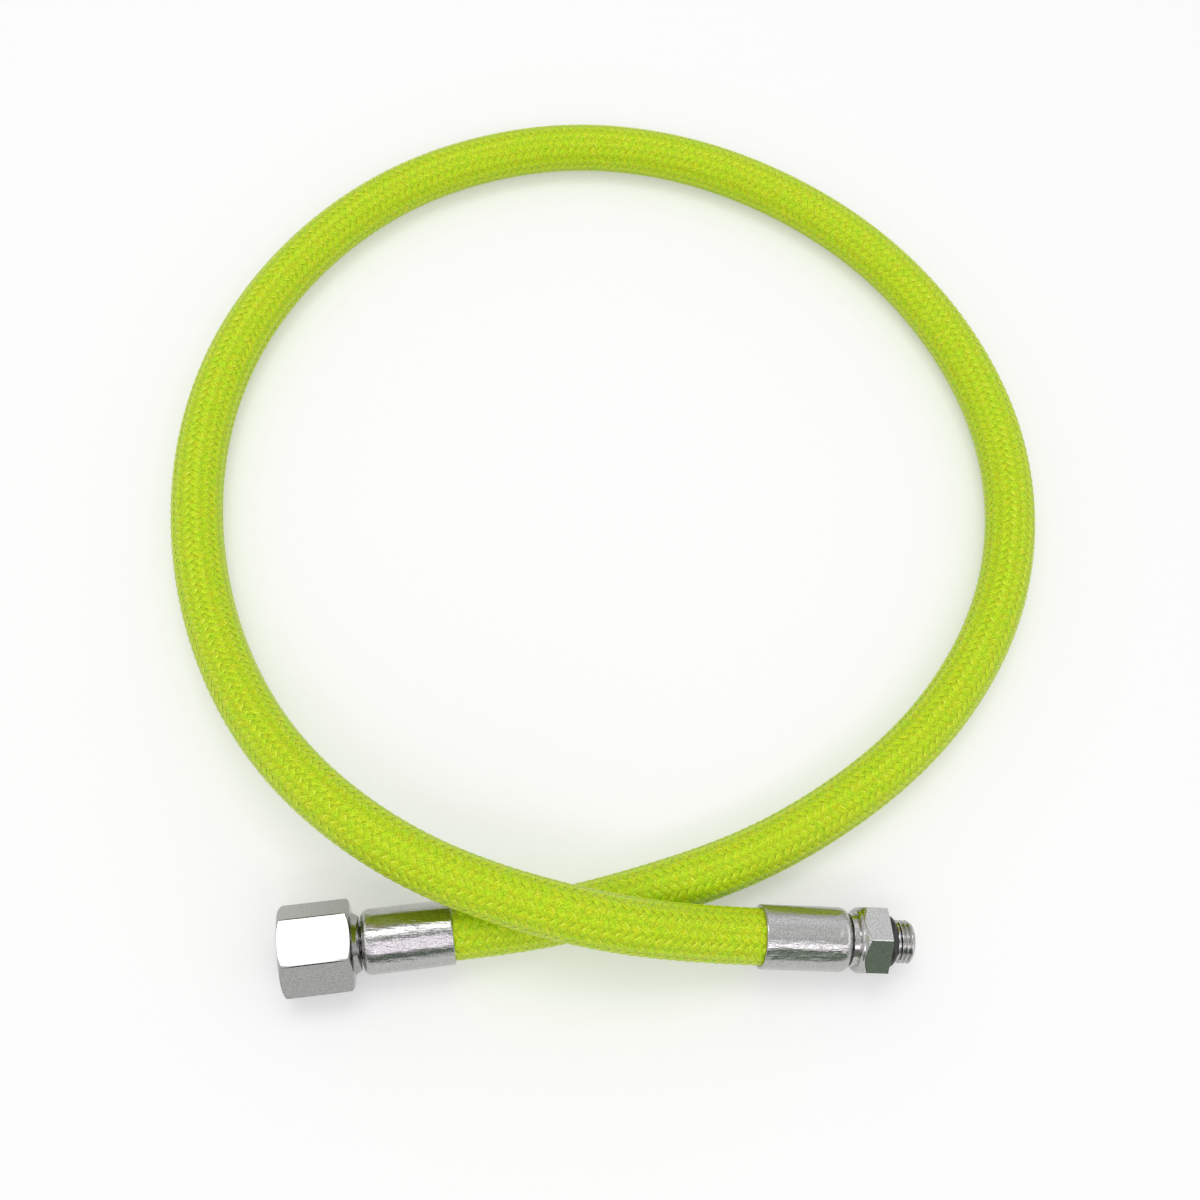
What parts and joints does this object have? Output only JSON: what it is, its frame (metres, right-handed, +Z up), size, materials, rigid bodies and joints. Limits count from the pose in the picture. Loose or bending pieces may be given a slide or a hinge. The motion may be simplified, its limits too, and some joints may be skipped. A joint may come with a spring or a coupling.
{
  "type": "regulator hose",
  "caption": "Low-pressure diving hose with a woven lime sleeve, lying in one loop; a threaded male stem on one end and a free-turning swivel nut on the other, both crimped.",
  "frame": {"origin": "on the floor, in the middle of the part's box seen from above", "axes": "+Z up from the floor the hose lies on; +Y away from the two fittings, across the loop; +X towards the male stem, which points along +X and a little down; the swivel nut points along -X"},
  "size_m": [0.2169, 0.2397, 0.0272],
  "materials": {
    "lime_braid": "woven polyester sleeve, matt with a slight sheen",
    "chrome": "bright chrome plating on brass",
    "black_rubber": "matt black O-ring rubber"
  },
  "bodies": {
    "hose_assembly": {"hose": "lime_braid", "swivel_ferrule": "chrome", "male_ferrule": "chrome", "male_stem": "chrome", "male_o_ring": "black_rubber", "swivel_stem": "chrome", "spigot_o_ring": "black_rubber"},
    "nut": {"swivel_nut": "chrome"}
  },
  "joints": [
    {"name": "nut_turn", "type": "hinge", "parent": "hose_assembly", "child": "nut", "pos_m": [-0.06186, -0.10894, 0.00873], "axis": [-0.9912, -0.1323, 0], "continuous": true}
  ]
}
